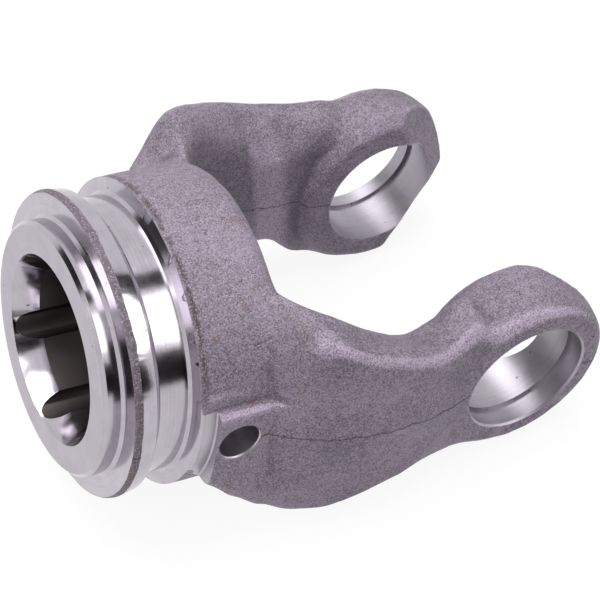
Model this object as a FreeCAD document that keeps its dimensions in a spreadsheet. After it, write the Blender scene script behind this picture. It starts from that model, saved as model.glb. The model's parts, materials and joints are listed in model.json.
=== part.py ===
import FreeCAD, Part
import math
import os

import Sketcher
from FreeCAD import Vector

# A forged yoke of one piece. X runs along the hub from its nose to the ears, Y along the cross that the
# ears carry, and Z is up. The origin is the centre of the cross, where its axis meets the hub's axis.
# The die parted in the XY plane, so the forged sides lean away from that plane.

doc = FreeCAD.newDocument("ForgedYoke")
sheet = doc.addObject("Spreadsheet::Sheet", "Sizes")


# A length together with the sheet formula that gives it, so that one sum serves a sketch's first
# drawing and the dimension that holds it.
class Size:
    def __init__(self, value, formula):
        self.value = value
        self.formula = formula

    def __add__(self, other):
        other = as_size(other)
        return Size(self.value + other.value, f"({self.formula} + {other.formula})")

    def __sub__(self, other):
        other = as_size(other)
        return Size(self.value - other.value, f"({self.formula} - {other.formula})")

    def __mul__(self, other):
        other = as_size(other)
        return Size(self.value * other.value, f"({self.formula} * {other.formula})")

    def __truediv__(self, factor):
        return Size(self.value / factor, f"({self.formula} / {factor})")

    def __neg__(self):
        return Size(-self.value, f"(0 - {self.formula})")


def as_size(value):
    return value if isinstance(value, Size) else Size(float(value), str(value))


def tangent(angle):
    return Size(math.tan(math.radians(angle.value)), f"tan({angle.formula} * 1 deg)")


# Each size gets a row of the sheet: its name, its value in millimetres or degrees, and its meaning.
rows = 0


def size(name, value, meaning):
    global rows
    rows += 1
    sheet.set(f"A{rows}", name)
    sheet.set(f"B{rows}", str(value))
    sheet.set(f"C{rows}", meaning)
    sheet.setAlias(f"B{rows}", name)
    return Size(float(value), f"Sizes.{name}")


# Cross bores and ears
cross_bore = size("cross_bore", 32, "diameter of the bores for the cross's bearing cups")
ring_span = size("ring_span", 76, "between the inner walls of the two snap ring grooves")
ring_width = size("ring_width", 2.2, "width of a snap ring groove")
ring_depth = size("ring_depth", 1.1, "depth of a snap ring groove")
ear_span = size("ear_span", 88.6, "over the outer faces of the ears")
ear_gap = size("ear_gap", 52.6, "between the inner faces of the ears")
ear_radius = size("ear_radius", 24.6, "radius of the ear at its inner face")
ear_taper = size("ear_taper", 2.6, "how much less the ear's radius is at its outer face")
ear_round = size("ear_round", 3.2, "rounding of the ear's outer rim")
boss_lip = size("boss_lip", 22, "radius of the ear's inner face")
boss_flare = size("boss_flare", 4.4, "how far the ear's inner face stands in from the arm")
bevel_start = size("bevel_start", 14.4, "from the bore's axis to the bevel of the ear's inner side, at the middle")
bevel_angle = size("bevel_angle", 40, "angle of that bevel to the hub's axis")
sweep_above = size("sweep_above", 32, "angle by which the bevel falls back above the parting plane")
sweep_below = size("sweep_below", 23, "angle by which the bevel falls back below the parting plane")
bevel_length = size("bevel_length", 30, "length of the bevel's cut along the hub axis")
boss_round = size("boss_round", 2, "rounding of the ear's inner edges")

# Hub along its axis, measured back from the nose
reach = size("reach", 106.1, "from the nose to the cross")
nose_radius = size("nose_radius", 30.1, "radius of the turned nose")
nose_chamfer = size("nose_chamfer", 1.1, "chamfer on the nose")
collar_front = size("collar_front", 4.6, "from the nose to the collar")
collar_radius = size("collar_radius", 36.3, "radius of the collar's forged rim")
skin_width = size("skin_width", 2.2, "width of the forged rim that is left on the collar")
guard_start = size("guard_start", 10, "from the nose to the guard bearing's groove")
guard_floor = size("guard_floor", 13.2, "from the nose to where the groove reaches its depth")
guard_end = size("guard_end", 19.6, "from the nose to the groove's back wall")
guard_radius = size("guard_radius", 32.8, "radius of the groove's floor")
rim_radius = size("rim_radius", 36.8, "radius of the groove's back wall")
turned_end = size("turned_end", 23, "from the nose to the end of the turned surface")
turned_radius = size("turned_radius", 37.4, "radius of the turned surface behind the groove")
hub_length = size("hub_length", 43, "from the nose to the bottom of the fork")
hub_radius = size("hub_radius", 37.2, "radius of the forged hub")
hub_round = size("hub_round", 4.5, "rounding at the bottom of the fork")
nose_cove = size("nose_cove", 1.5, "cove between the nose and the collar's front")
guard_cove = size("guard_cove", 1, "cove between the groove's floor and its back wall")
wall_lean = size("wall_lean", 0.9, "lean of the groove's back wall, and width of its edge")
collar_turned = size("collar_turned", 36.1, "radius of the collar's turned rim")

# Splined bore
spline_major = size("spline_major", 44.5, "diameter over the bottoms of the spline slots")
spline_minor = size("spline_minor", 39.7, "diameter inside the spline lands")
slot_width = size("slot_width", 7.4, "width of a spline slot")
slot_round = size("slot_round", 3.2, "rounding at the bottom of a slot")
mouth = size("mouth", 45.1, "diameter of the lead-in chamfer at the nose")
lead_in = size("lead_in", 6.1, "depth of the lead-in chamfer")

# Pin hole and its pad
pin_bore = size("pin_bore", 10, "diameter of the pin hole")
pin_place = size("pin_place", 29.6, "from the nose to the pin hole")
pad_rise = size("pad_rise", 1.8, "how far the pad stands out of the hub")
pad_above = size("pad_above", 8, "width of the pad above the pin hole")
pad_below = size("pad_below", 9.5, "width of the pad below the pin hole, at its front")
pad_spread = size("pad_spread", 28, "width of the pad below the pin hole, at its end in the arm")
pad_climb = size("pad_climb", 1.2, "how far the pad's lower edge climbs towards the arm")
pad_slope = size("pad_slope", 4, "how far the pad's upper side slopes, both ways")
pad_round = size("pad_round", 3, "rounding along the pad's edges")
pad_start = size("pad_start", 18, "from the nose to the front of the pad")
pad_end = size("pad_end", 40.5, "from the nose to the end of the pad, inside the arm")

# Forging
stock = size("stock", 1.2, "forged stock that is turned off the nose and the collar's front")
collar_round = size("collar_round", 3, "rounding of the collar's forged edge")
arm_round = size("arm_round", 4, "rounding of an arm's edges")
draft = size("draft", 5, "lean of the forged sides away from the parting plane")

clearance = size("clearance", 5, "how far a cut's outline reaches past the surfaces that it cuts")

# Sections of an arm, from inside the hub to inside the ear. An arm is narrow on its inner side, where the
# other yoke swings past, and wide on its outer side, more so on its full flank than on its slim one.
parts_of_section = (
    ("share", "share of the way from the bottom of the fork to the cross"),
    ("outer", "from the hub's axis to the outer side"),
    ("inner", "from the hub's axis to the inner side"),
    ("full", "from the parting plane to the full flank, at the outer side"),
    ("slim", "from the parting plane to the slim flank, at the outer side"),
    ("front", "half the width of the inner side"),
)
stations = [
    (name, [size(f"{name}_{part}", value, f"{name} of the arm: {meaning}")
            for (part, meaning), value in zip(parts_of_section, values)])
    for name, values in (
        ("heel", (-0.206, 34, 8, 13, 13, 26)),
        ("root", (-0.079, 39.6, 12, 20.5, 20, 30)),
        ("flare", (0.016, 43.4, 23, 28.5, 26.5, 30.5)),
        ("calf", (0.111, 45.8, 28.6, 31.2, 26, 29)),
        ("knee", (0.222, 47.3, 30, 32, 23.5, 25)),
        ("shin", (0.364, 47.9, 30, 31.6, 22.2, 18.2)),
        ("waist", (0.491, 47.7, 29.8, 30.2, 21.2, 13.4)),
        ("ankle", (0.618, 46.3, 29.6, 28.4, 21.4, 17.5)),
        ("neck", (0.75, 44.6, 29, 25.2, 20.7, 21.5)),
        ("cheek", (0.9, 43.6, 30, 21.6, 20.5, 21)),
    )
]

yoke = doc.addObject("PartDesign::Body", "Yoke")
yoke.Label = "yoke"


def plane(name):
    return next(item for item in yoke.Origin.OriginFeatures if item.Role == name)


# A sketch on one of the body's planes, moved along that plane's normal by an offset if it has one
def new_sketch(name, plane_name, offset=None):
    sketch = yoke.newObject("Sketcher::SketchObject", name)
    sketch.AttachmentSupport = (plane(plane_name), [""])
    sketch.MapMode = "FlatFace"
    if offset is not None:
        sketch.AttachmentOffset = FreeCAD.Placement(Vector(0, 0, offset.value), FreeCAD.Rotation())
        sketch.setExpression("AttachmentOffset.Base.z", offset.formula)
    return sketch


def hold(sketch, name, kind, *where):
    held = as_size(where[-1])
    index = sketch.addConstraint(Sketcher.Constraint(kind, *where[:-1], held.value))
    sketch.renameConstraint(index, name)
    sketch.setExpression(f"Constraints.{name}", held.formula)


# Fixes one point of a sketch by its distances from the sketch's origin
def place(sketch, name, geometry, point, x, y):
    for kind, axis, value in (("DistanceX", -2, x), ("DistanceY", -1, y)):
        value = as_size(value)
        if abs(value.value) < 1e-9:
            sketch.addConstraint(Sketcher.Constraint("PointOnObject", geometry, point, axis))
        else:
            hold(sketch, f"{name}{kind[-1].lower()}", kind, geometry, point, value)


# Draws a closed outline through its corners. A corner is (x, y), or (x, y, radius) where it is rounded.
def outline(sketch, corners, name="p"):
    points = [Vector(as_size(c[0]).value, as_size(c[1]).value, 0) for c in corners]
    count = len(corners)
    starts, ends, arcs = [], [], []
    for i, corner in enumerate(corners):
        here = points[i]
        back = (points[i - 1] - here).normalize()
        on = (points[(i + 1) % count] - here).normalize()
        if len(corner) == 2:
            ends.append(here)
            starts.append(here)
            arcs.append(None)
            continue
        half = back.getAngle(on) / 2
        radius = as_size(corner[2]).value
        run = radius / math.tan(half)
        middle = here + (back + on).normalize() * (radius / math.sin(half))
        ends.append(here + back * run)
        starts.append(here + on * run)
        first = math.atan2(ends[i].y - middle.y, ends[i].x - middle.x)
        last = math.atan2(starts[i].y - middle.y, starts[i].x - middle.x)
        forward = (last - first) % (2 * math.pi) < math.pi
        span = (first, last) if forward else (last, first)
        arcs.append((Part.ArcOfCircle(Part.Circle(middle, Vector(0, 0, 1), radius), *span), forward))
    lines = [sketch.addGeometry(Part.LineSegment(starts[i], ends[(i + 1) % count])) for i in range(count)]
    for i, corner in enumerate(corners):
        before, after = lines[i - 1], lines[i]
        if arcs[i] is None:
            sketch.addConstraint(Sketcher.Constraint("Coincident", before, 2, after, 1))
            place(sketch, f"{name}{i}", after, 1, corner[0], corner[1])
            continue
        arc, forward = arcs[i]
        bend = sketch.addGeometry(arc)
        apex = sketch.addGeometry(Part.Point(points[i]), True)
        first, last = (1, 2) if forward else (2, 1)
        sketch.addConstraint(Sketcher.Constraint("Tangent", before, 2, bend, first))
        sketch.addConstraint(Sketcher.Constraint("Tangent", bend, last, after, 1))
        sketch.addConstraint(Sketcher.Constraint("PointOnObject", apex, 1, before))
        sketch.addConstraint(Sketcher.Constraint("PointOnObject", apex, 1, after))
        place(sketch, f"{name}{i}", apex, 1, corner[0], corner[1])
        hold(sketch, f"{name}{i}r", "Radius", bend, corner[2])


def circle(sketch, x, y, diameter, name="hole"):
    x, y = as_size(x), as_size(y)
    ring = Part.Circle(Vector(x.value, y.value, 0), Vector(0, 0, 1), diameter.value / 2)
    index = sketch.addGeometry(ring)
    place(sketch, name, index, 3, x, y)
    hold(sketch, f"{name}d", "Diameter", index, diameter)


def revolve(kind, name, sketch, axis):
    feature = yoke.newObject(f"PartDesign::{kind}", name)
    feature.Profile = sketch
    feature.ReferenceAxis = (sketch, [axis])
    feature.Angle = 360
    sketch.Visibility = False
    doc.recompute()
    return feature


# Adds or cuts a sketch's area along its plane's normal, by the same length both ways when it goes through
def along(kind, name, sketch, length, side="One side"):
    feature = yoke.newObject(f"PartDesign::{kind}", name)
    feature.Profile = sketch
    feature.SideType = side
    feature.Length = length.value
    feature.setExpression("Length", length.formula)
    sketch.Visibility = False
    doc.recompute()
    return feature


def through(kind, name, sketch, length):
    return along(kind, name, sketch, length, "Symmetric")


# A place along the hub's axis, given as its distance from the nose
def at(distance):
    return distance - reach


# Forged hub: a plain stub that the turning cuts the nose, the collar and the groove from
blank = new_sketch("HubBlank", "XY_Plane")
outline(blank, [
    (at(as_size(0)), 0),
    (at(as_size(0)), nose_radius + stock),
    (at(collar_front) - stock, nose_radius + stock),
    (at(collar_front) - stock, collar_radius, collar_round),
    (at(hub_length), hub_radius, hub_round),
    (at(hub_length), 0),
])
revolve("Revolution", "Hub", blank, "H_Axis")

# Arms: one is lofted through its sections from inside the hub to the middle of its ear. Each section is
# a block that is widest at the parting plane, with rounded corners.
sections = []
lean = tangent(draft)
for name, (share, outer, inner, full, slim, front) in stations:
    section = new_sketch(f"Arm{name.title()}", "YZ_Plane", at(hub_length) + share * (reach - hub_length))
    outline(section, [
        (outer, 0),
        (outer - full * lean, full, arm_round),
        (inner + front * lean, front, arm_round),
        (inner, 0),
        (inner + front * lean, -front, arm_round),
        (outer - slim * lean, -slim, arm_round),
    ])
    section.Visibility = False
    sections.append(section)
arm = yoke.newObject("PartDesign::AdditiveLoft", "Arm")
arm.Profile = sections[0]
arm.Sections = sections[1:]
doc.recompute()

# Ear: a drafted ring on the axis of the cross, with a flare towards the arm
ear = new_sketch("EarOutline", "XY_Plane")
outline(ear, [
    (0, ear_gap / 2),
    (boss_lip, ear_gap / 2, boss_round),
    (ear_radius, ear_gap / 2 + boss_flare, boss_round),
    (ear_radius - ear_taper, ear_span / 2, ear_round),
    (0, ear_span / 2),
])
boss = revolve("Revolution", "Ear", ear, "V_Axis")

# The other arm is the same one, turned about the hub's axis
other_side = yoke.newObject("PartDesign::PolarPattern", "OtherArm")
other_side.Originals = [arm, boss]
other_side.Axis = (blank, ["H_Axis"])
other_side.Angle = 360
other_side.Occurrences = 2
yoke.Tip = other_side
doc.recompute()

# Raised pad round the pin hole, on the near side of the hub. Its lower edge runs down into the arm.
pad_sections = []
pad_height = hub_radius + pad_rise
for name, distance, height, below in (("Front", pad_start, pad_height, pad_below),
                                      ("Root", pad_end, pad_height + pad_climb, pad_spread)):
    pad = new_sketch(f"Pad{name}", "YZ_Plane", at(distance))
    outline(pad, [
        (0, pad_above + pad_slope),
        (pad_slope - pad_height, pad_above + pad_slope),
        (-pad_height, pad_above, pad_round),
        (-height, -below, pad_round),
        (0, -below),
    ])
    pad.Visibility = False
    pad_sections.append(pad)
pin_pad = yoke.newObject("PartDesign::AdditiveLoft", "PinPad")
pin_pad.Profile = pad_sections[0]
pin_pad.Sections = pad_sections[1:]
doc.recompute()

# The ears' inner sides are bevelled towards their tips, to let the cross swing. The bevel falls back both
# ways from the parting plane.
bevel_rise = bevel_length * tangent(bevel_angle)
for side, way, sweep in (("Upper", 1, sweep_above), ("Lower", -1, sweep_below)):
    bevel = new_sketch(f"Bevel{side}Outline", "XY_Plane")
    outline(bevel, [
        (bevel_start, ear_gap / 2),
        (bevel_start + bevel_length, ear_gap / 2 + bevel_rise),
        (bevel_start + bevel_length, -ear_gap / 2 - bevel_rise),
        (bevel_start, -ear_gap / 2),
    ])
    cut = yoke.newObject("PartDesign::Pocket", f"Bevel{side}")
    cut.Profile = bevel
    cut.UseCustomVector = True
    cut.Direction = Vector(-tangent(sweep).value, 0, way)
    cut.setExpression("Direction.x", (-tangent(sweep)).formula)
    cut.Length = (ear_radius * 2).value
    cut.setExpression("Length", (ear_radius * 2).formula)
    bevel.Visibility = False
    doc.recompute()

# Turned nose and collar front
clear = hub_radius + clearance
nose = new_sketch("NoseTurning", "XY_Plane")
outline(nose, [
    (at(-clearance), nose_radius - nose_chamfer / 2),
    (at(as_size(0)), nose_radius - nose_chamfer / 2),
    (at(nose_chamfer), nose_radius),
    (at(collar_front), nose_radius, nose_cove),
    (at(collar_front), clear),
    (at(-clearance), clear),
])
revolve("Groove", "TurnedNose", nose, "H_Axis")

# Guard bearing's groove, with the collar's turned rim before it and a turned shoulder behind
guard = new_sketch("GuardTurning", "XY_Plane")
outline(guard, [
    (at(collar_front + skin_width), collar_turned),
    (at(guard_start), collar_turned),
    (at(guard_floor), guard_radius),
    (at(guard_end), guard_radius, guard_cove),
    (at(guard_end + wall_lean), rim_radius),
    (at(guard_end + wall_lean * 2), turned_radius),
    (at(turned_end), turned_radius),
    (at(turned_end), clear),
    (at(collar_front + skin_width), clear),
])
revolve("Groove", "GuardGroove", guard, "H_Axis")

# Splined bore: round between the lands, with six slots and a long lead-in chamfer
bore = new_sketch("BoreOutline", "YZ_Plane")
circle(bore, 0, 0, spline_minor)
through("Pocket", "Bore", bore, (reach + clearance) * 2)
slot = new_sketch("SlotOutline", "YZ_Plane")
outline(slot, [
    (-slot_width / 2, 0),
    (slot_width / 2, 0),
    (slot_width / 2, spline_major / 2, slot_round),
    (-slot_width / 2, spline_major / 2, slot_round),
])
cut = through("Pocket", "Slot", slot, (reach + clearance) * 2)
slots = yoke.newObject("PartDesign::PolarPattern", "Slots")
slots.Originals = [cut]
slots.Axis = (slot, ["N_Axis"])
slots.Angle = 360
slots.Occurrences = 6
yoke.Tip = slots
doc.recompute()
lead = new_sketch("LeadIn", "XY_Plane")
outline(lead, [
    (at(-clearance), 0),
    (at(-clearance), mouth / 2),
    (at(as_size(0)), mouth / 2),
    (at(lead_in), spline_minor / 2),
    (at(lead_in), 0),
])
revolve("Groove", "LeadInChamfer", lead, "H_Axis")

# Pin hole through both walls of the hub
pin = new_sketch("PinOutline", "XZ_Plane")
circle(pin, at(pin_place), 0, pin_bore)
through("Pocket", "PinHole", pin, (pad_height + clearance) * 2)

# Cross bores through both ears, each with a snap ring groove
cross = new_sketch("CrossOutline", "XZ_Plane")
circle(cross, 0, 0, cross_bore)
through("Pocket", "CrossBores", cross, ear_span + clearance * 2)
for side, near, far in (("Left", ring_span / 2, ring_span / 2 + ring_width),
                        ("Right", -ring_span / 2 - ring_width, -ring_span / 2)):
    ring = new_sketch(f"Ring{side}", "XY_Plane")
    outline(ring, [
        (0, near),
        (cross_bore / 2 + ring_depth, near),
        (cross_bore / 2 + ring_depth, far),
        (0, far),
    ])
    revolve("Groove", f"RingGroove{side}", ring, "V_Axis")

# The yoke lies on its side: on the rim of the hub at the fork, and on the sides of both ears
rim_run = reach - hub_length + hub_round
rim_drop = hub_radius - hub_round
rim_distance = f"sqrt({rim_run.formula}^2 + {rim_drop.formula}^2)"
tilt = f"atan({rim_drop.formula} / {rim_run.formula}) - asin(({(ear_radius - hub_round).formula}) / {rim_distance})"
yoke.Placement = FreeCAD.Placement(Vector(), FreeCAD.Rotation(Vector(0, 1, 0), 10))
yoke.setExpression("Placement.Rotation.Angle", tilt)
doc.recompute()

failed = [item.Name for item in doc.Objects if {"Invalid", "Error"} & set(item.State)]
if failed or yoke.Shape.isNull() or not yoke.Shape.isValid() or len(yoke.Shape.Solids) != 1:
    raise RuntimeError(f"the yoke did not build: {failed}")
os.makedirs("parts", exist_ok=True)
yoke.Shape.exportStep("parts/yoke.step")
box = yoke.Shape.BoundBox
print(f"yoke: {yoke.Shape.Volume / 1000:.1f} cm3, {box.XLength:.1f} x {box.YLength:.1f} x {box.ZLength:.1f} mm")
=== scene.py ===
import json
import math
from types import SimpleNamespace

import bpy
from mathutils import Matrix, Vector


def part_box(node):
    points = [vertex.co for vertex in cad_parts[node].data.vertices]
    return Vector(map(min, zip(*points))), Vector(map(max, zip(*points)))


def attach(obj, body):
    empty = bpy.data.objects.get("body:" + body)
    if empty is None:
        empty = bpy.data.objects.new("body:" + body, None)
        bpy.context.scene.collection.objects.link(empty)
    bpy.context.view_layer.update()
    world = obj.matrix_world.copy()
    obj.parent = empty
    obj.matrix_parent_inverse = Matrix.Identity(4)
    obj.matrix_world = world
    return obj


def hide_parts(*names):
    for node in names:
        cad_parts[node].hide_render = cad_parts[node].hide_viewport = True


# A forged yoke, made the way the real one is: the forging comes first, with its skin, and the turned, broached
# and bored surfaces are cut out of it. The work is done in mm with the hub along X, then turned to its place.

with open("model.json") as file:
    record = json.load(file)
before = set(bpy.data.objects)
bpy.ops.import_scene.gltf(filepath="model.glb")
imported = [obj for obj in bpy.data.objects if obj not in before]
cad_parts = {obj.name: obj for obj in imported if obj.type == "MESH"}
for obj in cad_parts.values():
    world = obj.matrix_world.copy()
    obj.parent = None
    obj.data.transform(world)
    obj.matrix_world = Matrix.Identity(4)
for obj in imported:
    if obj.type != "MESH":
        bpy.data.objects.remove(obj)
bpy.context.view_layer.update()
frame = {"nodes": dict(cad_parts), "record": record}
mounts = {mount["name"]: mount for mount in frame["record"]["mounts"]}
hubAxis = Vector(mounts["splined_bore"]["axis"])
hubTilt = math.atan2(hubAxis.z, -hubAxis.x)
intoPlace = Matrix.Rotation(hubTilt, 4, "Y")
mm = 0.001
near = 0.01
print("frame loaded")


def deselectAll():
    if bpy.context.object and bpy.context.object.mode != "OBJECT":
        bpy.ops.object.mode_set(mode="OBJECT")
    bpy.ops.object.select_all(action="DESELECT")


def pick(*pieces):
    deselectAll()
    for piece in pieces:
        piece.select_set(True)
    bpy.context.view_layer.objects.active = pieces[0]


# Selects a piece's points by their place, and leaves it in edit mode
def pickPoints(piece, wanted):
    pick(piece)
    bpy.ops.object.mode_set(mode="EDIT")
    bpy.ops.mesh.select_mode(type="VERT")
    bpy.ops.mesh.select_all(action="DESELECT")
    bpy.ops.object.mode_set(mode="OBJECT")
    for point in piece.data.vertices:
        point.select = wanted(point.co / mm)
    bpy.ops.object.mode_set(mode="EDIT")


def closeUp(piece):
    pick(piece)
    bpy.ops.object.mode_set(mode="EDIT")
    bpy.ops.mesh.select_all(action="SELECT")
    bpy.ops.mesh.remove_doubles(threshold=0.002 * mm)
    bpy.ops.mesh.normals_make_consistent(inside=False)
    bpy.ops.object.mode_set(mode="OBJECT")


def applied(piece, kind, **settings):
    pick(piece)
    modifier = piece.modifiers.new(kind.title(), kind)
    for name, value in settings.items():
        setattr(modifier, name, value)
    bpy.ops.object.modifier_apply(modifier=modifier.name)


def slideAlong(piece, distance):
    piece.data.transform(Matrix.Translation((distance * mm, 0, 0)))


def combine(piece, other, operation):
    applied(piece, "BOOLEAN", operation=operation, object=other, solver="EXACT")
    bpy.data.objects.remove(other)


def block(name, middle, size):
    deselectAll()
    bpy.ops.mesh.primitive_cube_add(size=1, location=Vector(middle) * mm)
    piece = bpy.context.object
    piece.name = name
    piece.scale = Vector(size) * mm
    bpy.ops.object.transform_apply(location=True, scale=True)
    return piece


# A turned solid: its half outline is drawn as (along the axis, radius) points, and spun round
def turned(name, outline, axis, steps):
    points = [
        Vector((along, 0, radius) if axis == "X" else (0, along, radius)) * mm for along, radius in outline
    ]
    deselectAll()
    bpy.ops.mesh.primitive_plane_add(size=mm, location=points[0])
    piece = bpy.context.object
    piece.name = name
    bpy.ops.object.transform_apply(location=True)
    bpy.ops.object.mode_set(mode="EDIT")
    bpy.ops.mesh.select_mode(type="VERT")
    bpy.ops.mesh.select_all(action="SELECT")
    bpy.ops.mesh.merge(type="CENTER")
    for here, there in zip(points, points[1:]):
        bpy.ops.mesh.extrude_vertices_move(TRANSFORM_OT_translate={"value": there - here})
    bpy.ops.mesh.select_all(action="SELECT")
    bpy.ops.mesh.spin(steps=steps, angle=2 * math.pi, center=(0, 0, 0),
                      axis=(1, 0, 0) if axis == "X" else (0, 1, 0))
    bpy.ops.object.mode_set(mode="OBJECT")
    closeUp(piece)
    return piece


# Rounds the ring of edges at a place (along, radius) of a solid that was turned about X
def roundRing(piece, along, radius, size):
    pickPoints(piece, lambda p: abs(p.x - along) < near and abs(math.hypot(p.y, p.z) - radius) < near)
    bpy.ops.mesh.bevel(offset=size * mm, segments=5, affect="EDGES", offset_type="OFFSET")
    bpy.ops.object.mode_set(mode="OBJECT")


def smoothStep(value, low, high):
    share = min(1, max(0, (value - low) / (high - low)))
    return share * share * (3 - 2 * share)


# The forging, with stock left on what will be turned, and its holes filled. Places along the hub are given
# from the nose.
hub = {"reach": 106.1, "face": -1, "nose": 31.3, "step": 3.4, "collar": 36.3, "collarRound": 2.6, "length": 43,
       "radius": 37.2, "endRound": 4.5, "steps": 180}
ears = {"bore": 16.05, "inner": 26.2, "outer": 44.2, "ring": 17.4, "ringFrom": 37.4, "ringTo": 40.8,
        "bevelStart": 14.4, "bevelAngle": 40, "sweepAbove": 32, "sweepBelow": 23, "gap": 26.3, "steps": 96}
pin = {"bore": 5, "place": 29.6, "chamferFrom": 38.95, "end": 60, "steps": 64,
       "filling": {"bore": 5.05, "near": -38.9, "far": 36.8, "steps": 48}}
pad = {"front": 16, "back": 27, "top": 8.2, "bottom": -9.4, "face": 39, "depth": 8, "round": 1.2,
       "crisp": {"side": (28, 33), "middle": -1, "height": (12, 15), "end": (38, 42)},
       "ledge": {"side": 30, "height": (8.2, 9.4), "end": (36, 42)}}
voxel = 0.8


def at(fromNose):
    return fromNose - hub["reach"]


def fromNose(outline):
    return [(at(along), radius) for along, radius in outline]


def makeHubStock():
    stock = turned("hubStock", fromNose([
        (hub["face"], 0), (hub["face"], hub["nose"]), (hub["step"], hub["nose"]), (hub["step"], hub["collar"]),
        (hub["length"], hub["radius"]), (hub["length"], 0),
    ]), "X", hub["steps"])
    roundRing(stock, at(hub["length"]), hub["radius"], hub["endRound"])
    roundRing(stock, at(hub["step"]), hub["collar"], hub["collarRound"])
    return stock


# Fills one ear's bore, cut back along the ear's bevel so that nothing stands out of it
def makeEarFilling(side):
    inner, outer, ringFrom, ringTo = (side * ears[name] for name in ("inner", "outer", "ringFrom", "ringTo"))
    filling = turned("earFilling", [
        (inner, 0), (inner, ears["bore"]), (ringFrom, ears["bore"]), (ringFrom, ears["ring"]),
        (ringTo, ears["ring"]), (ringTo, ears["bore"]), (outer, ears["bore"]), (outer, 0),
    ], "Y", ears["steps"])
    start = Vector((ears["bevelStart"], side * ears["gap"], 0)) * mm
    slope = math.tan(math.radians(ears["bevelAngle"]))
    for way, sweep in ((1, ears["sweepAbove"]), (-1, ears["sweepBelow"])):
        normal = Vector((slope, -side, way * slope * math.tan(math.radians(sweep))))
        pick(filling)
        bpy.ops.object.mode_set(mode="EDIT")
        bpy.ops.mesh.select_all(action="SELECT")
        bpy.ops.mesh.bisect(plane_co=start, plane_no=normal, use_fill=True, clear_outer=True, threshold=1e-7)
        bpy.ops.object.mode_set(mode="OBJECT")
    closeUp(filling)
    return filling


# Forged stock on the front of the pad, which the turning cuts back to a bright tab
def makePadStock():
    middle = (at((pad["front"] + pad["back"]) / 2), -pad["face"] + pad["depth"] / 2,
              (pad["top"] + pad["bottom"]) / 2)
    stock = block("padStock", middle, (pad["back"] - pad["front"], pad["depth"], pad["top"] - pad["bottom"]))
    applied(stock, "BEVEL", width=pad["round"] * mm, segments=3)
    return stock


def makePinFilling():
    hole = pin["filling"]
    filling = turned("pinFilling", [
        (hole["near"], 0), (hole["near"], hole["bore"]), (hole["far"], hole["bore"]), (hole["far"], 0),
    ], "Y", hole["steps"])
    slideAlong(filling, at(pin["place"]))
    return filling


def makeForging():
    forging = bpy.data.objects.new("forging", frame["nodes"]["yoke"].data.copy())
    bpy.context.scene.collection.objects.link(forging)
    closeUp(forging)
    forging.data.transform(intoPlace.inverted())
    pinFilling = makePinFilling()
    pick(forging, makeHubStock(), makePadStock(), makeEarFilling(1), makeEarFilling(-1), pinFilling)
    bpy.ops.object.join()
    applied(forging, "REMESH", mode="VOXEL", voxel_size=voxel * mm)
    print("forging remeshed:", len(forging.data.polygons), "faces")
    return forging


forging = makeForging()


# Softening: each place rises and falls along the hub, and starts at a height or a side of it
soft = {"fork": {"rise": (30, 36), "fall": (46, 52), "height": (15, 21), "share": 0.8},
        "bottom": {"rise": (41, 46), "fall": (64, 74), "side": (33, 38)},
        "neck": {"rise": (74, 82), "fall": (102, 108), "height": (14, 19), "side": (27, 31)},
        "belly": {"rise": (30, 36), "fall": (48, 56), "height": (13, 18), "side": (18, 26)}}
passes = {"everywhere": 2, "offPad": 3, "blend": 40, "hollow": 130}
dip = {"rise": (42, 54), "fall": (64, 86), "height": (12, 28), "depth": 1.5}
# Fuller places of both arms, given for the far one: their middle, how far they reach each way, and their rise.
# They have all of the rise in their core, which is a share of the reach.
core = 0.15
fuller = {"neck": {"middle": (-9, 42, 22), "reach": (13, 13, 14), "rise": (0, 0, 2.1)},
          "throat": {"middle": (-18, 30, -22), "reach": (14, 10, 12), "rise": (0, 0, -1.7)},
          "heel": {"middle": (-66, 40, 24), "reach": (17, 14, 15), "rise": (-0.4, 0.6, 1.2)},
          "lap": {"middle": (-58, 31, -28), "reach": (18, 10, 12), "rise": (0, 0, -1.2)}}
rough = {"waves": {"size": 6, "depth": 2, "height": 0.3}, "grain": {"size": 1.6, "depth": 1, "height": 0.12}}


def alongHub(p, place):
    rise, fall = ([at(end) for end in place[name]] for name in ("rise", "fall"))
    return smoothStep(p.x, *rise) * (1 - smoothStep(p.x, *fall))


# The pad round the pin hole stays crisp
def offPadWeight(p):
    crisp = pad["crisp"]
    start, end = (at(place) for place in crisp["end"])
    across = smoothStep(-p.y, *crisp["side"]) * (1 - smoothStep(abs(p.z - crisp["middle"]), *crisp["height"]))
    return 1 - across * (1 - smoothStep(p.x, start, end))


# The hub runs softly into the arms, above and below
def blendWeight(p):
    fork = soft["fork"]
    return fork["share"] * (alongHub(p, fork) * smoothStep(abs(p.z), *fork["height"]))


# The bottom of the fork and the arms' inner sides make one wide hollow. The arms' outer edges run into the
# ears in a long curve, and the pad's lower end into its arm.
def hollowWeight(p):
    bottom, neck, belly = (soft[name] for name in ("bottom", "neck", "belly"))
    inside = alongHub(p, bottom) * (1 - smoothStep(abs(p.y), *bottom["side"]))
    above = alongHub(p, neck) * smoothStep(abs(p.z), *neck["height"]) * smoothStep(abs(p.y), *neck["side"])
    below = alongHub(p, belly) * smoothStep(-p.z, *belly["height"]) * smoothStep(-p.y, *belly["side"])
    return min(1, inside + above + below)


def weigh(piece, name, weight):
    group = piece.vertex_groups.new(name=name)
    for point in piece.data.vertices:
        value = weight(point.co / mm)
        if value > 0.01:
            group.add([point.index], value, "REPLACE")


# The far arm's upper edge dips a little between the hub and the ear
def dipArm(forging):
    for point in forging.data.vertices:
        p = point.co / mm
        if p.y > 0 and p.z > 0:
            point.co.z -= dip["depth"] * mm * alongHub(p, dip) * smoothStep(p.z, *dip["height"])


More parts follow.
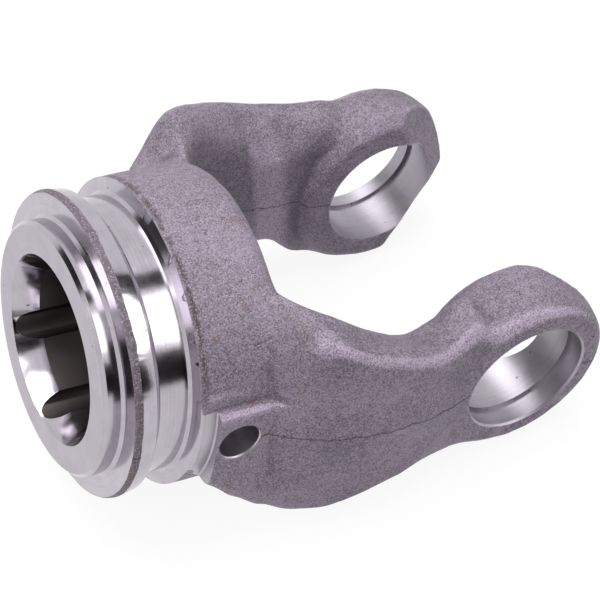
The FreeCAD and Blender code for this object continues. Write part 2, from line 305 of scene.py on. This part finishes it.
# Takes the slope off the pad's upper side, down to the hub, so that it ends in a ledge
def cutLedge(forging):
    ledge = pad["ledge"]
    start, end = (at(place) for place in ledge["end"])
    for point in forging.data.vertices:
        p = point.co / mm
        out = math.hypot(p.y, p.z)
        if p.y < -ledge["side"] and out > hub["radius"] and p.x < end:
            share = smoothStep(p.z, *ledge["height"]) * (1 - smoothStep(p.x, start, end))
            shrink = 1 + (hub["radius"] / out - 1) * share
            point.co.y *= shrink
            point.co.z *= shrink


# The near arm is the far one turned half a turn about the hub, so its places have Y and Z the other way
def fillOut(forging, place):
    for point in forging.data.vertices:
        p = point.co / mm
        side = 1 if p.y > 0 else -1
        spot = (p.x, p.y * side, p.z * side)
        away = [(here - middle) / reach for here, middle, reach in zip(spot, place["middle"], place["reach"])]
        share = 1 - smoothStep(Vector(away).length, core, 1)
        if share > 0:
            rise = Vector(place["rise"]) * share * mm
            point.co += Vector((rise.x, rise.y * side, rise.z * side))


def clouds(name, size, depth):
    texture = bpy.data.textures.new(name, "CLOUDS")
    texture.noise_scale = size * mm
    texture.noise_depth = depth
    texture.noise_basis = "IMPROVED_PERLIN"
    return texture


def finishForging(forging):
    dipArm(forging)
    cutLedge(forging)
    weights = {"offPad": offPadWeight, "blend": blendWeight, "hollow": hollowWeight}
    for name, weight in weights.items():
        weigh(forging, name, weight)
    applied(forging, "SMOOTH", factor=0.5, iterations=passes["everywhere"])
    for name in weights:
        applied(forging, "SMOOTH", factor=0.5, iterations=passes[name], vertex_group=name)
    for place in fuller.values():
        fillOut(forging, place)
    for name, setting in rough.items():
        applied(forging, "DISPLACE", texture=clouds(name, setting["size"], setting["depth"]),
                strength=setting["height"] * mm, mid_level=0.5, texture_coords="LOCAL")
    print("forging smoothed and roughened")


finishForging(forging)


# The machined surfaces: each tool is cut out of the forging. Outlines are (from the nose, radius) points. The
# nose's tool is open in front, where there is no steel.
lathe = {"nose": [(-3, 0), (0, 0), (0, 29.2), (0.9, 30.1), (3.9, 30.1), (4.6, 30.9), (4.6, 48), (-3, 48)],
         "groove": [(5.9, 36.4), (9.9, 35.75), (10.3, 35.3), (11.6, 33.1), (12, 32.8), (18.8, 32.8),
                    (19.5, 33.5), (20, 36.7), (20.5, 37.3), (23.6, 37.4), (23.9, 37.8), (23.9, 48), (5.9, 48),
                    (5.9, 36.4)],
         "tab": {"from": 20.4, "radius": 37.2}, "steps": 240}
spline = {"land": 19.85, "valley": 22.25, "slot": 7.4, "corner": 3.2, "mouth": 22.55, "leadIn": 6.1,
          "from": -5, "to": 50, "slotMiddle": 20, "slotLength": 60, "slots": 6, "before": 2, "steps": 168}
cross = {"bore": 16, "ring": 17.1, "ringFrom": 38, "ringTo": 40.2, "face": 44.3, "chamfer": 0.5, "end": 50,
         "flare": 6, "steps": 168}
turnedSteel, facedSteel, broachedOiledShadedSteel, boredSteel, drilledSteel = range(1, 6)


# A block that cuts two opposite slots, with its long edges rounded
def makeSlot(turn):
    slot = block("slot", (at(spline["slotMiddle"]), 0, 0),
                 (spline["slotLength"], spline["slot"], spline["valley"] * 2))
    pickPoints(slot, lambda p: False)
    bpy.ops.object.mode_set(mode="OBJECT")
    for edge in slot.data.edges:
        here, there = (slot.data.vertices[index].co for index in edge.vertices)
        edge.select = abs(here.x - there.x) > mm
    bpy.ops.object.mode_set(mode="EDIT")
    bpy.ops.mesh.select_mode(type="EDGE")
    bpy.ops.mesh.bevel(offset=spline["corner"] * mm, segments=6, affect="EDGES")
    bpy.ops.object.mode_set(mode="OBJECT")
    slot.data.transform(Matrix.Rotation(turn, 4, "X"))
    return slot


def makeBroach():
    start, end, land = (spline[name] for name in ("from", "to", "land"))
    outline = fromNose([(start, 0), (start, land), (end, land), (end, 0)])
    broach = turned("broach", outline, "X", spline["steps"])
    for number in range(spline["slots"] // 2):
        combine(broach, makeSlot(2 * math.pi * number / spline["slots"]), "UNION")
    return broach


def makeLeadIn():
    slope = (spline["mouth"] - spline["land"]) / spline["leadIn"]
    return turned("leadIn", fromNose([
        (-spline["before"], 0), (-spline["before"], spline["mouth"] + spline["before"] * slope),
        (spline["leadIn"], spline["land"]), (spline["leadIn"], 0),
    ]), "X", spline["steps"])


def makeCrossReamer():
    half = [(cross["ringFrom"], cross["bore"]), (cross["ringFrom"], cross["ring"]),
            (cross["ringTo"], cross["ring"]), (cross["ringTo"], cross["bore"]),
            (cross["face"] - cross["chamfer"], cross["bore"]), (cross["end"], cross["bore"] + cross["flare"]),
            (cross["end"], 0)]
    return turned("crossReamer", [(-y, r) for y, r in reversed(half)] + half, "Y", cross["steps"])


def makeDrill():
    drill = turned("drill", [
        (-pin["end"], 0), (-pin["end"], pin["bore"] + pin["end"] - pin["chamferFrom"]),
        (-pin["chamferFrom"], pin["bore"]), (pin["end"], pin["bore"]), (pin["end"], 0),
    ], "Y", pin["steps"])
    slideAlong(drill, at(pin["place"]))
    return drill


# The nose's face and the tab are faced, which leaves them matt
def isFaced(place):
    tab = lathe["tab"]
    onTab = place.x > at(tab["from"]) and math.hypot(place.y, place.z) > tab["radius"]
    return onTab or abs(place.x - at(0)) < near


def cut(forging, tool, finish):
    for material in forging.data.materials:
        tool.data.materials.append(material)
    for face in tool.data.polygons:
        faced = finish == turnedSteel and isFaced(face.center / mm)
        face.material_index = facedSteel if faced else finish
    combine(forging, tool, "DIFFERENCE")
    print("cut:", len(forging.data.polygons), "faces")


def machine(forging):
    drill = makeDrill()
    for outline in ("nose", "groove"):
        cut(forging, turned(outline + "Tool", fromNose(lathe[outline]), "X", lathe["steps"]), turnedSteel)
    cut(forging, makeBroach(), broachedOiledShadedSteel)
    cut(forging, makeLeadIn(), turnedSteel)
    cut(forging, makeCrossReamer(), boredSteel)
    cut(forging, drill, drilledSteel)


# Wraps a socket, so that sums on it add Math nodes
class Wire:
    def __init__(self, nodes, socket):
        self.nodes = nodes
        self.socket = socket

    def calc(self, operation, *others):
        values = dict(enumerate((self,) + others))
        return self.nodes.add("ShaderNodeMath", {"operation": operation}, values)

    def __add__(self, other):
        return self.calc("ADD", other)

    def __sub__(self, other):
        return self.calc("SUBTRACT", other)

    def __mul__(self, other):
        return self.calc("MULTIPLY", other)

    def __rsub__(self, other):
        return self * -1 + other

    __radd__ = __add__
    __rmul__ = __mul__


class Nodes:
    def __init__(self, tree):
        self.tree = tree

    # Adds a node of a type, with its settings and then its sockets' values or wires. Gives the named outputs,
    # or else the first one.
    def add(self, kind, settings, sockets, *outputs):
        made = self.tree.nodes.new(kind)
        for name, value in settings.items():
            setattr(made, name, value)
        for key, value in sockets.items():
            if isinstance(value, Wire):
                self.tree.links.new(value.socket, made.inputs[key])
            else:
                made.inputs[key].default_value = value
        wires = [Wire(self, made.outputs[output]) for output in outputs or (0,)]
        return wires if len(wires) > 1 else wires[0]

    def lead(self, wire, socket):
        self.tree.links.new(wire.socket, socket)


class Finish(Nodes):
    def __init__(self, name, constants):
        self.material = bpy.data.materials.new(name)
        self.material.use_nodes = True
        super().__init__(self.material.node_tree)
        self.shader = self.tree.nodes["Principled BSDF"]
        for socket, value in constants.items():
            self.shader.inputs[socket].default_value = value

    def place(self):
        return self.add("ShaderNodeTexCoord", {}, {}, "Object")

    # Coordinates with the hub along X, as the outlines above have them
    def hubPlace(self):
        turn = {"Vector": self.place(), "Rotation": (0, hubTilt, 0)}
        return self.add("ShaderNodeMapping", {"vector_type": "TEXTURE"}, turn)

    def split(self, vector):
        return self.add("ShaderNodeSeparateXYZ", {}, {"Vector": vector}, "X", "Y", "Z")

    # Coordinates that change only along an axis and with the distance from it
    def ringed(self, axis):
        x, y, z = self.split(self.hubPlace())
        along, across = (x, y) if axis == "X" else (y, x)
        radius = (across * across + z * z).calc("SQRT")
        return self.add("ShaderNodeCombineXYZ", {}, {"X": along, "Y": radius})

    def noise(self, size, detail, roughness=0.5, place=None):
        sockets = {"Vector": place or self.place(), "Scale": 1 / (size * mm), "Detail": detail,
                   "Roughness": roughness}
        return self.add("ShaderNodeTexNoise", {}, sockets)

    # Goes from 0 to 1 between two values
    def step(self, value, low, high):
        return self.add("ShaderNodeMapRange", {"interpolation_type": "SMOOTHSTEP"}, {
            "Value": value, "From Min": low, "From Max": high})

    # A rounded ridge across a place
    def hump(self, value, place, width):
        return 1 - self.step((value - place).calc("ABSOLUTE"), 0, width)

    # The Mix node's colour sockets are its inputs 6 and 7 and its output 2
    def mix(self, factor, first, second):
        return self.add("ShaderNodeMix", {"data_type": "RGBA"}, {0: factor, 6: first, 7: second}, 2)

    def bump(self, height, distance, strength, normal=None):
        sockets = {"Height": height, "Distance": distance * mm, "Strength": strength}
        if normal:
            sockets["Normal"] = normal
        return self.add("ShaderNodeBump", {}, sockets)

    def use(self, **wires):
        for name, wire in wires.items():
            self.lead(wire, self.shader.inputs[name.replace("_", " ")])


# Steel's grey at a level of brightness, with a tint
def grey(level, tint):
    return tuple(level * part for part in tint) + (1,)


# The skin's levels and colours, its grains' sizes in mm, and the ranges in which each look sets in
# The worn level is for rubbed edges and painted highlights alike, and the creased level is painted shade
forged = {"dark": 0.1, "light": 0.33, "wornAndHighlit": 0.47, "speckle": 0.52, "creaseShade": 0.035, "metallic": 0.45,
          "roughness": 0.42, "rougher": 0.3, "tint": (1.0, 0.83, 1.06), "speckleTint": (1.0, 0.9, 1.06),
          "scale": (0.06, 0.045, 0.045, 1), "rust": (0.17, 0.1, 0.085, 1)}
grain = {"patches": 14, "rust": 9, "flash": 4, "scale": 2.5, "pocks": 1.6, "blasted": 0.42, "sparkle": 0.35}
looks = {"shade": (0.385, 0.61), "gleam": (0.4, 0.58), "speckle": (0.56, 0.68), "scale": (0.36, 0.52),
         "rust": (0.58, 0.64), "onRidge": (0.26, 0.44), "inside": (0.55, 0.85), "upward": (0.35, 0.7),
         "onEdge": (0.525, 0.565), "inHollow": (0.492, 0.505)}
# Places on the skin, from the nose where they lie along the hub
marks = {"hubEnd": (34, 50), "rimEnd": (6.4, 7), "shoulder": 21.2, "shoulderWidth": 1.3,
         "shoulderHeight": (0, 20), "ledgeSide": (-35, -33), "ledgeTop": (14, 18), "farArm": (0, 10),
         "highlightBandStart": (-38, -35), "highlightBandEnd": (-30, -25), "highlightBandLean": 0.216}
flash = {"strays": 3, "creaseWidth": 0.36, "ledge": (-0.2, 0.1)}


# Where a point of the skin lies, which way it faces, and its noises
def surveySkin(finish):
    spot = SimpleNamespace()
    spot.patches = finish.noise(grain["patches"], 3, 0.6)
    spot.blasted = finish.noise(grain["blasted"], 3, 0.65)
    spot.pocks = finish.noise(grain["pocks"], 3, 0.6)
    spot.sparkle = finish.noise(grain["sparkle"], 1)
    spot.x, spot.y, spot.z = (part * (1 / mm) for part in finish.split(finish.hubPlace()))
    spot.onHub = 1 - finish.step(spot.x, *(at(place) for place in marks["hubEnd"]))
    spot.gleam = finish.step(spot.blasted * 0.6 + spot.sparkle * 0.4, *looks["gleam"])
    spot.pointed, normal = finish.add("ShaderNodeNewGeometry", {}, {}, "Pointiness", "Normal")
    facingY, facingZ = finish.split(normal)[1:]
    spot.outward = facingY * spot.y.calc("SIGN")
    spot.upward = facingZ.calc("ABSOLUTE")
    return spot


# The far arm's inner side, which faces the camera, and a band across it: paintSkin gives the band a painted
# highlight and the rest of that side a painted shade
def armInside(finish, spot):
    along = spot.x + spot.z * marks["highlightBandLean"]
    inside = finish.step(spot.outward * -1, *looks["inside"]) * (1 - spot.onHub)
    highlightBand = finish.step(along, *marks["highlightBandStart"]) * (1 - finish.step(along, *marks["highlightBandEnd"]))
    return inside * finish.step(spot.y, *marks["farArm"]), highlightBand


# Painted highlight on the pad's ledge and, with rubbing, on the arms' outer ridges; sharp edges rubbed bright
def wornAndHighlitPlaces(finish, spot):
    onRidge = finish.step(spot.outward * spot.upward, *looks["onRidge"]) * (1 - spot.onHub)
    onEdge = finish.step(spot.pointed + spot.blasted * 0.03, *looks["onEdge"])
    onLedge = (finish.step(spot.upward, *looks["upward"]) * (1 - finish.step(spot.y, *marks["ledgeSide"]))
               * spot.onHub * (1 - finish.step(spot.z, *marks["ledgeTop"])))
    wornAndHighlit = (onRidge * (0.25 + spot.gleam * 0.75)).calc("MAXIMUM", onEdge * 0.8)
    return wornAndHighlit.calc("MAXIMUM", onLedge * (0.2 + spot.gleam * 0.8))


# The skin's colour, from its shades up to its speckles
def paintSkin(finish, spot):
    shade = finish.step(spot.patches * 0.17 + spot.blasted * 0.65 + spot.pocks * 0.18 + spot.onHub * 0.02,
                        *looks["shade"])
    colour = finish.mix(shade, grey(forged["dark"], forged["tint"]), grey(forged["light"], forged["tint"]))
    inside, highlightBand = armInside(finish, spot)
    # Rubbed edges and painted highlights, with a painted highlight on the inner side's band
    wornAndHighlit = wornAndHighlitPlaces(finish, spot).calc("MAXIMUM", inside * highlightBand * (0.2 + spot.gleam * 0.65))
    colour = finish.mix(wornAndHighlit, colour, grey(forged["wornAndHighlit"], forged["tint"]))
    # Painted shade in the hollows, where pointiness is low, and on the inner side beside its band
    hollow = 1 - finish.step(spot.pointed + spot.blasted * 0.016, *looks["inHollow"])
    hollow = hollow.calc("MAXIMUM", inside * (1 - highlightBand) * 0.35)
    colour = finish.mix(hollow * 0.6, colour, grey(forged["dark"], forged["tint"]))

    scale = finish.noise(grain["scale"], 3, 0.65)
    shoulder = finish.hump(spot.x, at(marks["shoulder"]), marks["shoulderWidth"])
    shoulder = shoulder * finish.step(spot.z, *marks["shoulderHeight"])
    rim = 1 - finish.step(spot.x, *(at(place) for place in marks["rimEnd"]))
    scaled = shoulder * finish.step(scale, *looks["scale"]) * 0.85 + rim * 0.55
    colour = finish.mix(scaled, colour, forged["scale"])
    rusty = finish.step(scale * 0.5 + finish.noise(grain["rust"], 1) * 0.5, *looks["rust"])
    colour = finish.mix(rusty * spot.onHub * 0.5, colour, forged["rust"])
    speckled = finish.step(spot.sparkle, *looks["speckle"]) * (0.2 + spot.onHub * 0.4)
    return finish.mix(speckled, colour, grey(forged["speckle"], forged["speckleTint"]))


def makeForgedSkin():
    finish = Finish("forgedSkin", {"Metallic": forged["metallic"]})
    spot = surveySkin(finish)
    colour = paintSkin(finish, spot)
    # The flash line strays round the parting plane: a crease with a small ledge below it, its colour darkened
    # by painted shade
    height = spot.z + finish.noise(grain["flash"], 4, 0.65) * flash["strays"] - flash["strays"] / 2
    crease = finish.hump(height, 0, flash["creaseWidth"])
    ledge = 1 - finish.step(height, *flash["ledge"])
    colour = finish.mix(crease * 0.6, colour, grey(forged["creaseShade"], forged["tint"]))
    normal = finish.bump(spot.blasted, 0.3, 1)
    normal = finish.bump(spot.pocks, 0.35, 0.7, normal)
    normal = finish.bump(ledge - crease, 0.5, 1, normal)
    roughness = forged["roughness"] + spot.blasted * forged["rougher"]
    finish.use(Base_Color=colour, Normal=normal, Roughness=roughness)
    return finish.material


# The cut surfaces: how bright and how rough they are, the tool's lines and the axis that these run round
machined = {"turnedSteel": {"level": 0.5, "roughness": 0.1, "lineSize": 0.3, "axis": "X"},
            "facedSteel": {"level": 0.5, "roughness": 0.34, "lineSize": 0.3, "axis": "X"},
            # The broached bore's near-black is partly its oil and oxide and partly painted shade of the bore's
            # inside
            "broachedOiledShadedSteel": {"level": 0.08, "roughness": 0.4, "lineSize": 0.6, "axis": "X",
                              "tint": (1.0, 0.85, 0.85)},
            "boredSteel": {"level": 0.43, "roughness": 0.36, "lineSize": 0.35, "axis": "Y", "lineHeight": 0.03},
            "drilledSteel": {"level": 0.55, "roughness": 0.3, "lineSize": 0.4, "axis": "Y"}}
blotch = {"size": 6, "shade": (0.35, 0.65), "darker": 0.86, "height": 0.03}
pits = {"size": 1.1, "range": (0.83, 0.87), "level": 0.06}


def makeMachined(name, level, roughness, lineSize, axis, lineHeight=0.012, tint=(1.0, 0.93, 1.03)):
    finish = Finish(name, {"Metallic": 1})
    ringed = finish.ringed(axis)
    fine = finish.noise(lineSize, 2, 0.6, ringed)
    coarse = finish.noise(lineSize * 5, 1, 0.5, ringed)
    blotches = finish.noise(blotch["size"], 3, 0.6)
    shade = finish.step(blotches * 0.6 + fine * 0.4, *blotch["shade"])
    colour = finish.mix(shade, grey(level * blotch["darker"], tint), grey(level, tint))
    pitted = finish.step(finish.noise(pits["size"], 0), *pits["range"]) * 0.7
    colour = finish.mix(pitted, colour, grey(pits["level"], tint))
    normal = finish.bump(fine, lineHeight, 0.4)
    normal = finish.bump(coarse, lineHeight * 2, 0.3, normal)
    normal = finish.bump(blotches, blotch["height"], 0.3, normal)
    finish.use(Base_Color=colour, Normal=normal, Roughness=roughness + blotches * 0.12)
    return finish.material


forging.data.materials.clear()
forging.data.materials.append(makeForgedSkin())
for name, setting in machined.items():
    forging.data.materials.append(makeMachined(name, **setting))
machine(forging)
yoke = forging
yoke.name = "yokeForging"
closeUp(yoke)
yoke.data.transform(intoPlace)
pick(yoke)
bpy.ops.object.shade_smooth_by_angle(angle=math.radians(32))
print("yoke finished:", sum(len(face.vertices) - 2 for face in yoke.data.polygons), "triangles")

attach(yoke, "root")
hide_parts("yoke")


# The studio: a pale floor and white room, soft lamps, and dark cards that only reflections see. Directions are
# azimuth and height in degrees, as seen from the yoke, and lengths are in metres.
white = (1, 1, 1, 1)
floorPlan = {"size": 6, "shade": 0.9, "roughness": 0.9, "glow": 1.05, "share": 0.86}
roomLight = 0.27
lamps = {"overhead": {"toward": (110, 76), "distance": 1.2, "size": (1.1, 1.1), "energy": 14, "lights": True},
         "frontSoftbox": {"toward": (-43, 40), "distance": 1.0, "size": (0.66, 0.66), "energy": 3.4,
                          "lights": False},
         "leftSoftbox": {"toward": (-157, 48), "distance": 1.1, "size": (0.7, 0.45), "energy": 2.8,
                         "lights": True}}
cards = {"horizonCard": {"azimuth": (-126, -62), "height": (-12, 24), "distance": 0.7, "shade": 0},
         "gapCard": {"azimuth": (-23, 4), "height": (38, 76), "distance": 0.9, "shade": 0},
         "cameraCard": {"azimuth": (-135, -100), "height": (24, 44), "distance": 0.7, "shade": 0.01},
         "backCard": {"azimuth": (118, 168), "height": (24, 58), "distance": 0.8, "shade": 0.02}}
view = {"camera": (-0.23893, -0.24758, 0.29039), "lens": 105.02, "sensor": 36, "nearest": 0.01,
        "right": (0.86206, -0.46914, 0.19171), "up": (0.20873, 0.67338, 0.70922),
        "back": (-0.46182, -0.57138, 0.67842)}


def direction(azimuth, height):
    level = math.cos(height)
    return Vector((level * math.cos(azimuth), level * math.sin(azimuth), math.sin(height)))


def plain(shade):
    return (shade, shade, shade, 1)


def makeLamp(name, setting):
    away = direction(*(math.radians(angle) for angle in setting["toward"]))
    deselectAll()
    bpy.ops.object.light_add(type="AREA", location=away * setting["distance"],
                             rotation=(-away).to_track_quat("-Z", "Y").to_euler())
    lamp = bpy.context.object
    lamp.name = name
    lamp.data.shape = "RECTANGLE"
    lamp.data.size, lamp.data.size_y = setting["size"]
    lamp.data.energy = setting["energy"]
    lamp.visible_diffuse = setting["lights"]


# A card is a piece of a globe round the yoke, so that its edges run level and upright
def makeCard(name, setting):
    deselectAll()
    bpy.ops.mesh.primitive_grid_add(x_subdivisions=16, y_subdivisions=8, size=1)
    card = bpy.context.object
    card.name = name
    for corner in card.data.vertices:
        azimuth, height = (
            math.radians(low + (high - low) * (share + 0.5))
            for (low, high), share in zip((setting["azimuth"], setting["height"]), corner.co)
        )
        corner.co = direction(azimuth, height) * setting["distance"]
    dull = {"Base Color": plain(setting["shade"]), "Roughness": 1, "Specular IOR Level": 0}
    card.data.materials.append(Finish(name, dull).material)
    card.visible_camera = False
    card.visible_diffuse = False
    card.visible_shadow = False


# Lets the camera and the reflections see a plain white, and other rays what is really there
def whiteForViewers(nodes, really, seen, share, output):
    camera, glossy, through = nodes.add("ShaderNodeLightPath", {}, {}, "Is Camera Ray", "Is Glossy Ray",
                                        "Is Transmission Ray")
    viewer = camera.calc("MAXIMUM", glossy).calc("MAXIMUM", through)
    shaders = {0: viewer * share, 1: Wire(nodes, really.outputs[0]), 2: seen}
    mixed = nodes.add("ShaderNodeMixShader", {}, shaders)
    nodes.lead(mixed, nodes.tree.nodes[output].inputs["Surface"])


def makeFloor():
    deselectAll()
    bpy.ops.mesh.primitive_plane_add(size=floorPlan["size"], location=(0, 0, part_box("yoke")[0].z))
    floor = bpy.context.object
    floor.name = "floor"
    finish = Finish("paleFloor", {"Base Color": plain(floorPlan["shade"]), "Roughness": floorPlan["roughness"]})
    seen = finish.add("ShaderNodeEmission", {}, {"Color": white, "Strength": floorPlan["glow"]})
    whiteForViewers(finish, finish.shader, seen, floorPlan["share"], "Material Output")
    floor.data.materials.append(finish.material)


def makeRoom():
    room = bpy.data.worlds.new("whiteRoom")
    bpy.context.scene.world = room
    room.use_nodes = True
    nodes = Nodes(room.node_tree)
    really = nodes.tree.nodes["Background"]
    really.inputs["Color"].default_value = white
    really.inputs["Strength"].default_value = roomLight
    seen = nodes.add("ShaderNodeBackground", {}, {"Color": white, "Strength": 1})
    whiteForViewers(nodes, really, seen, 1, "World Output")


def makeCamera():
    bpy.ops.object.camera_add()
    camera = bpy.context.object
    turn = Matrix([view["right"], view["up"], view["back"]]).transposed().to_4x4()
    camera.matrix_world = intoPlace @ Matrix.Translation(view["camera"]) @ turn
    camera.data.sensor_width = view["sensor"]
    camera.data.lens = view["lens"]
    camera.data.clip_start = view["nearest"]
    bpy.context.scene.camera = camera


makeFloor()
makeRoom()
for name, setting in lamps.items():
    makeLamp(name, setting)
for name, setting in cards.items():
    makeCard(name, setting)
makeCamera()
bpy.context.scene.view_settings.view_transform = "Standard"
print("studio built")
